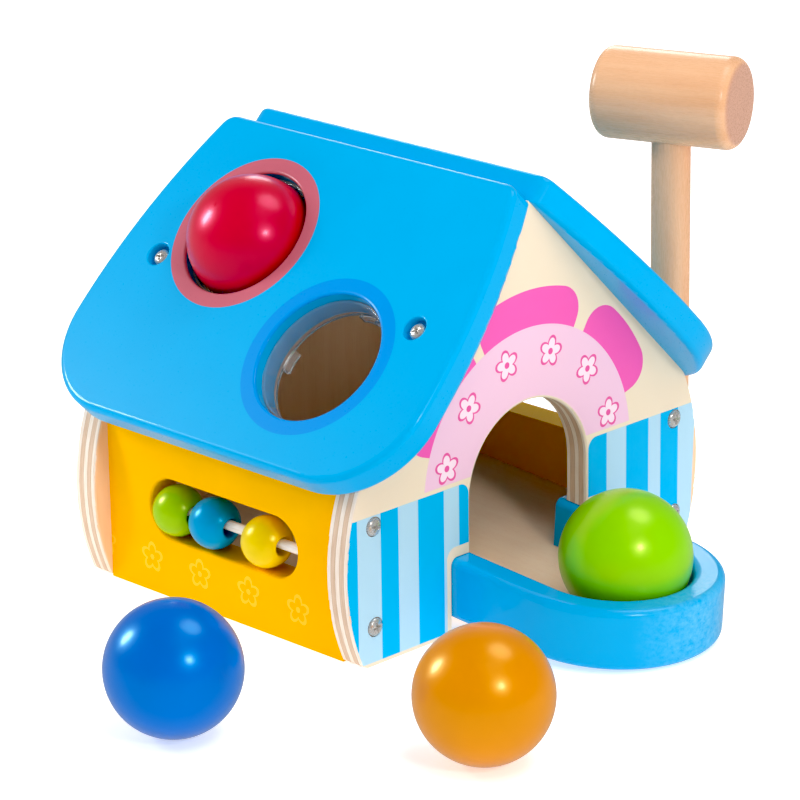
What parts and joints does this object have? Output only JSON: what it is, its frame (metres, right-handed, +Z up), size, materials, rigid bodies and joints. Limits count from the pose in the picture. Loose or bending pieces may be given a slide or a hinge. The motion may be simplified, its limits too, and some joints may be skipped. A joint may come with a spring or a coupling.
{
  "type": "ball pounding box",
  "caption": "Wooden toy house with a pitched roof whose ring-lined holes hold balls to be hammered through onto a ramp and tray, with sliding beads in a wall and a separate mallet.",
  "frame": {"origin": "on the floor, under the middle of the house, half way between the gables and between the side walls", "axes": "+Z up; -Y out of the doorway towards the tray; +X to the right of someone who faces the doorway"},
  "size_m": [0.3377, 0.284, 0.1902],
  "materials": {
    "printed_ply": "cream plywood with a printed face",
    "plywood": "sanded birch plywood",
    "yellow_paint": "satin yellow paint",
    "blue_paint": "satin blue paint",
    "clear_ring": "clear soft plastic",
    "white_dowel": "pale sanded dowel",
    "bead_green_lacquer": "gloss lacquer",
    "bead_blue_lacquer": "gloss lacquer",
    "bead_yellow_lacquer": "gloss lacquer",
    "red_lacquer": "gloss lacquer",
    "green_lacquer": "gloss lacquer",
    "blue_lacquer": "gloss lacquer",
    "orange_lacquer": "gloss lacquer",
    "beech": "sanded natural beech",
    "screw_steel": "nickel plated"
  },
  "bodies": {
    "house": {"front_gable": "printed_ply", "rear_gable": "plywood", "left_wall": "yellow_paint", "right_wall": "yellow_paint", "ramp": "plywood", "tray_rim": "blue_paint", "left_roof": "blue_paint", "right_roof": "blue_paint", "grip_ring_rear": "clear_ring", "grip_ring_front": "clear_ring", "bead_rod": "white_dowel", "front_gable_screws": "screw_steel", "rear_gable_screws": "screw_steel", "left_roof_screws": "screw_steel", "right_roof_screws": "screw_steel"},
    "red_ball": {"ball_red": "red_lacquer"},
    "green_ball": {"ball_green": "green_lacquer"},
    "blue_ball": {"ball_blue": "blue_lacquer"},
    "orange_ball": {"ball_orange": "orange_lacquer"},
    "mallet": {"mallet_head": "beech", "mallet_handle": "beech"},
    "green_bead": {"bead_green": "bead_green_lacquer"},
    "blue_bead": {"bead_blue": "bead_blue_lacquer"},
    "yellow_bead": {"bead_yellow": "bead_yellow_lacquer"}
  },
  "joints": [
    {"name": "red_ball_drive", "type": "slide", "parent": "house", "child": "red_ball", "axis": [-0.7071, 0, 0.7071], "range_m": [-0.034, 0.045], "deforming": ["grip_ring_rear"]},
    {"name": "green_ball_roll", "type": "slide", "parent": "house", "child": "green_ball", "axis": [0, 0.9976, 0.0698], "range_m": [0, 0.15]},
    {"name": "blue_ball_roll", "type": "slide", "parent": "house", "child": "blue_ball", "axis": [1, 0, 0], "range_m": [-0.08, 0.03]},
    {"name": "orange_ball_roll", "type": "slide", "parent": "house", "child": "orange_ball", "axis": [0, 1, 0], "range_m": [-0.08, 0.02]},
    {"name": "mallet_lift", "type": "slide", "parent": "house", "child": "mallet", "axis": [0, 0, 1], "range_m": [0, 0.15]},
    {"name": "green_bead_slide", "type": "slide", "parent": "house", "child": "green_bead", "axis": [0, 1, 0], "range_m": [-0.0041, 0.0005]},
    {"name": "blue_bead_slide", "type": "slide", "parent": "house", "child": "blue_bead", "axis": [0, 1, 0], "range_m": [-0.0041, 0.0005]},
    {"name": "yellow_bead_slide", "type": "slide", "parent": "house", "child": "yellow_bead", "axis": [0, 1, 0], "range_m": [-0.009, 0.0041]}
  ],
  "couplings": [
    {"joint": "blue_bead_slide", "follows": "green_bead_slide", "ratio": 1}
  ]
}
